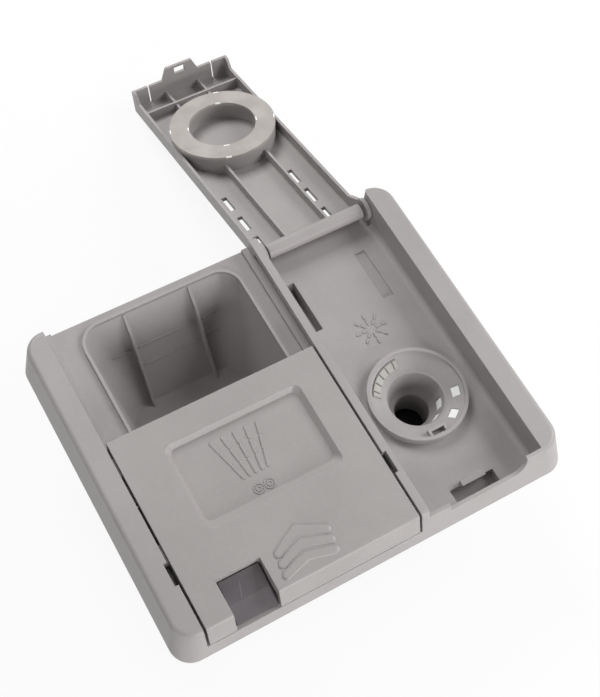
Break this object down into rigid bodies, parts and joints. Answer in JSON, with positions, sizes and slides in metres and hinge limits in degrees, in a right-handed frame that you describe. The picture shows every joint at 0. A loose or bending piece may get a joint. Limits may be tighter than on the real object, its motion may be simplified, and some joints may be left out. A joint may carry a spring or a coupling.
{
  "type": "dishwasher detergent dispenser",
  "caption": "Flat grey dishwasher dispenser: a sliding lid over a detergent chamber, a flip lid over a rinse-aid funnel, a release button and a solenoid drive behind.",
  "frame": {"origin": "middle of the rail outline in plan, on the plane of the skirt that seats on the door", "axes": "+X to the right across the dispenser, +Y from the button edge to the hinge edge, +Z out of the door"},
  "size_m": [0.1776, 0.2718, 0.058],
  "materials": {
    "grey_plastic": "moulded polypropylene with a fine spark-eroded grain",
    "lid_plastic": "moulded polypropylene, satin",
    "button_plastic": "dark grey moulded plastic, satin",
    "seal_rubber": "warm grey soft seal, matt",
    "gasket_rubber": "black sponge rubber",
    "milky_plastic": "milky polypropylene",
    "bobbin_plastic": "natural acetal",
    "zinc_steel": "zinc plated steel",
    "spring_steel": "drawn spring wire",
    "copper_wire": "enamelled copper wire",
    "terminal_brass": "tinned brass blades"
  },
  "bodies": {
    "housing": {"front_body": "grey_plastic", "perimeter_gasket": "gasket_rubber", "rinse_aid_tank": "milky_plastic", "rear_cover": "grey_plastic", "cover_screws": "zinc_steel", "lid_return_spring": "spring_steel", "latch_spring": "spring_steel", "plunger_spring": "spring_steel", "solenoid_frame": "zinc_steel", "solenoid_bobbin": "bobbin_plastic", "solenoid_winding": "copper_wire", "solenoid_terminals": "terminal_brass", "lever_pin": "zinc_steel"},
    "sliding_lid": {"detergent_lid": "lid_plastic", "chamber_seal": "seal_rubber"},
    "flip_lid": {"rinse_lid": "lid_plastic", "rinse_lid_seal": "seal_rubber"},
    "button": {"release_button": "button_plastic", "trip_spring": "spring_steel"},
    "plunger": {"solenoid_plunger": "zinc_steel", "dosing_rod": "zinc_steel", "valve_disc": "seal_rubber"},
    "lever": {"release_lever": "bobbin_plastic"}
  },
  "joints": [
    {"name": "lid_slide", "type": "slide", "parent": "housing", "child": "sliding_lid", "axis": [0, 1, 0], "range_m": [0, 0.0569], "stiffness_N_per_m": 20, "springref_m": -0.02, "deforming": ["lid_return_spring"]},
    {"name": "flip_lid_hinge", "type": "hinge", "parent": "housing", "child": "flip_lid", "pos_m": [0.04905, 0.06535, 0.008], "axis": [1, 0, 0], "range_deg": [0, 196.5]},
    {"name": "button_press", "type": "slide", "parent": "housing", "child": "button", "axis": [0, 0, 1], "range_m": [0, 0.0025], "deforming": ["latch_spring", "trip_spring"]},
    {"name": "plunger_pull", "type": "slide", "parent": "housing", "child": "plunger", "axis": [1, 0, 0], "range_m": [-0.004, 0], "stiffness_N_per_m": 200, "springref_m": 0.002, "deforming": ["plunger_spring", "trip_spring"]},
    {"name": "lever_swing", "type": "hinge", "parent": "housing", "child": "lever", "pos_m": [-0.0643, -0.0361, -0.00575], "axis": [0, 1, 0], "range_deg": [0, 14.5]}
  ],
  "couplings": [
    {"joint": "lever_swing", "follows": "plunger_pull", "rad_per_m": -62.5}
  ]
}
